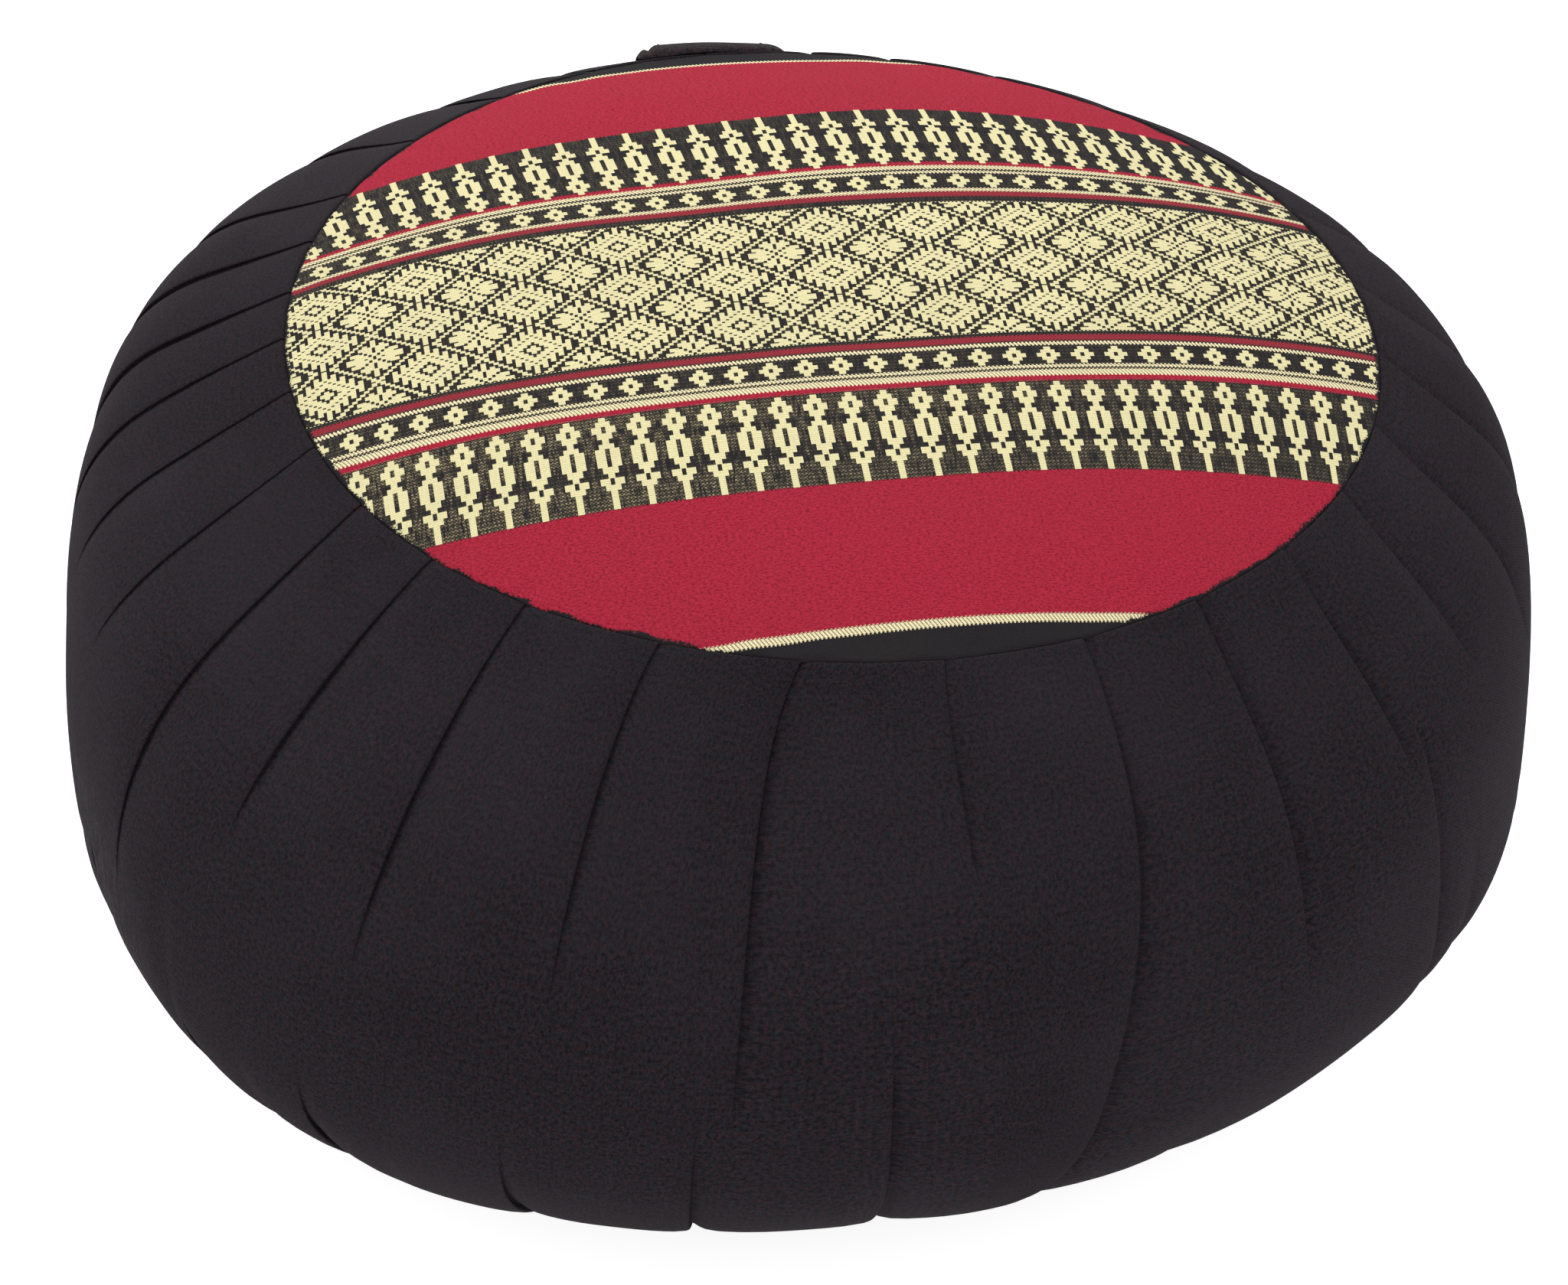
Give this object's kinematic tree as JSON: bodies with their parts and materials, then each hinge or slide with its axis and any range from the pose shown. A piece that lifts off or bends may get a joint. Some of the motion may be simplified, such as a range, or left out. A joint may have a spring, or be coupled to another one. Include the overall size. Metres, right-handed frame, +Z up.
{
  "type": "round meditation cushion",
  "caption": "Round filled floor cushion for sitting in meditation, with a pleated side wall, a crowned striped woven top panel, a plain underside and a carrying strap behind.",
  "frame": {"origin": "on the surface the cushion stands on, at the middle of its underside", "axes": "+Z up, -Y towards the picture's camera, +X to the right in the picture"},
  "size_m": [0.3906, 0.434, 0.201],
  "materials": {
    "wall_cotton": "black cotton, plain weave, slightly fuzzy, with a few light lint fibres",
    "woven_stripe": "thick handwoven cotton in crimson, cream and black, with rows of small woven motifs",
    "base_cotton": "plain black cotton",
    "strap_cotton": "black cotton folded double, with a line of stitches along each edge"
  },
  "bodies": {
    "root": {"cushion_body": "wall_cotton", "top_panel": "woven_stripe", "base_panel": "base_cotton", "carry_handle": "strap_cotton"}
  },
  "joints": []
}
